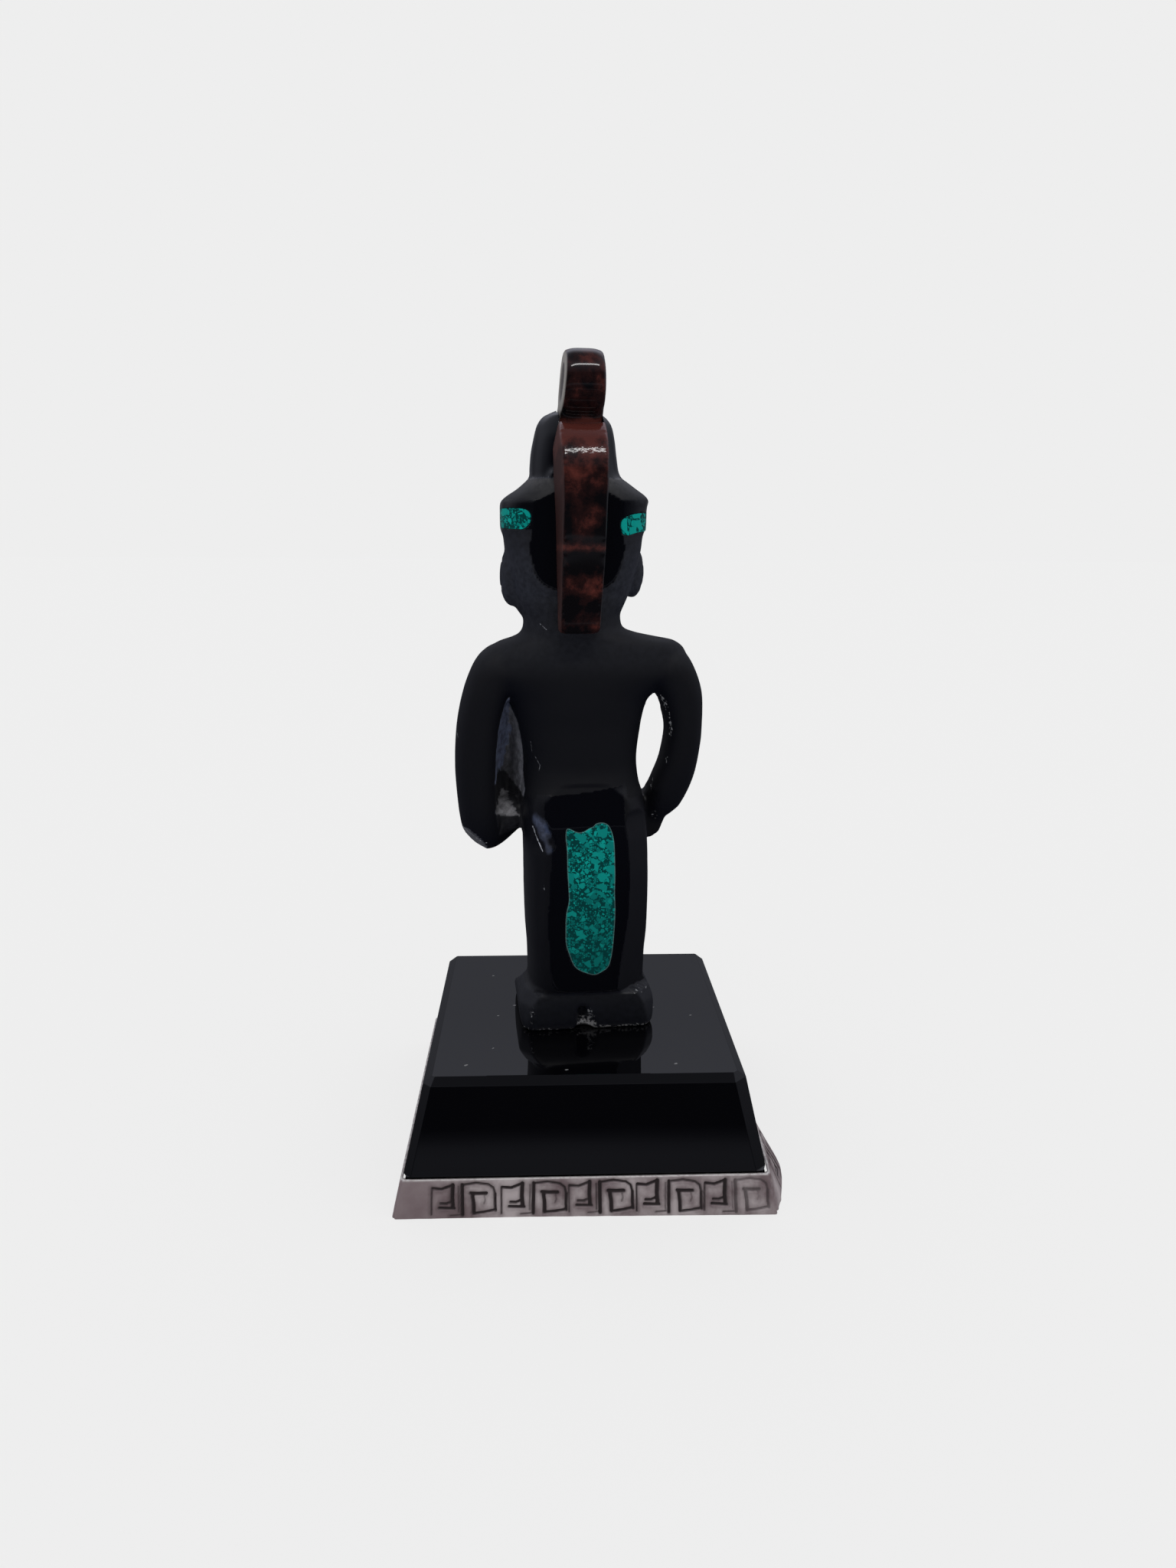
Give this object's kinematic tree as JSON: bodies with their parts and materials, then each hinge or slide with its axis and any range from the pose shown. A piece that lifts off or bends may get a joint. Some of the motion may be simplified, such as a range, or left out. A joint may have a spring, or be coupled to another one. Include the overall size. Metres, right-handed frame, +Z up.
{
  "type": "deity figurine",
  "caption": "Standing deity figurine in black obsidian with a red-brown crest and green stone inlays, on a square obsidian base with a stamped metal band",
  "frame": {"origin": "centre of the underside of the square base, on the surface it stands on", "axes": "+Z up the figure, -Y the way the figure faces, +X to the figure's left"},
  "size_m": [0.082, 0.082, 0.178],
  "materials": {
    "base_obsidian": "black obsidian sawn to a truncated pyramid and polished like glass",
    "obsidian": "black obsidian, ground satin on the back and arms, polished on the head, skirt panel and feet",
    "mahogany_obsidian": "black obsidian clouded with red-brown, polished",
    "malachite": "crushed green stone set in dark green resin and ground flush",
    "band_metal": "thin silver-coloured sheet, stamped with a fret, tarnished mauve-grey"
  },
  "bodies": {
    "root": {"base_block": "base_obsidian", "base_band": "band_metal", "figure": "obsidian", "crest": "mahogany_obsidian", "skirt_inlay": "malachite", "headband_inlay_left": "malachite", "headband_inlay_right": "malachite"}
  },
  "joints": []
}
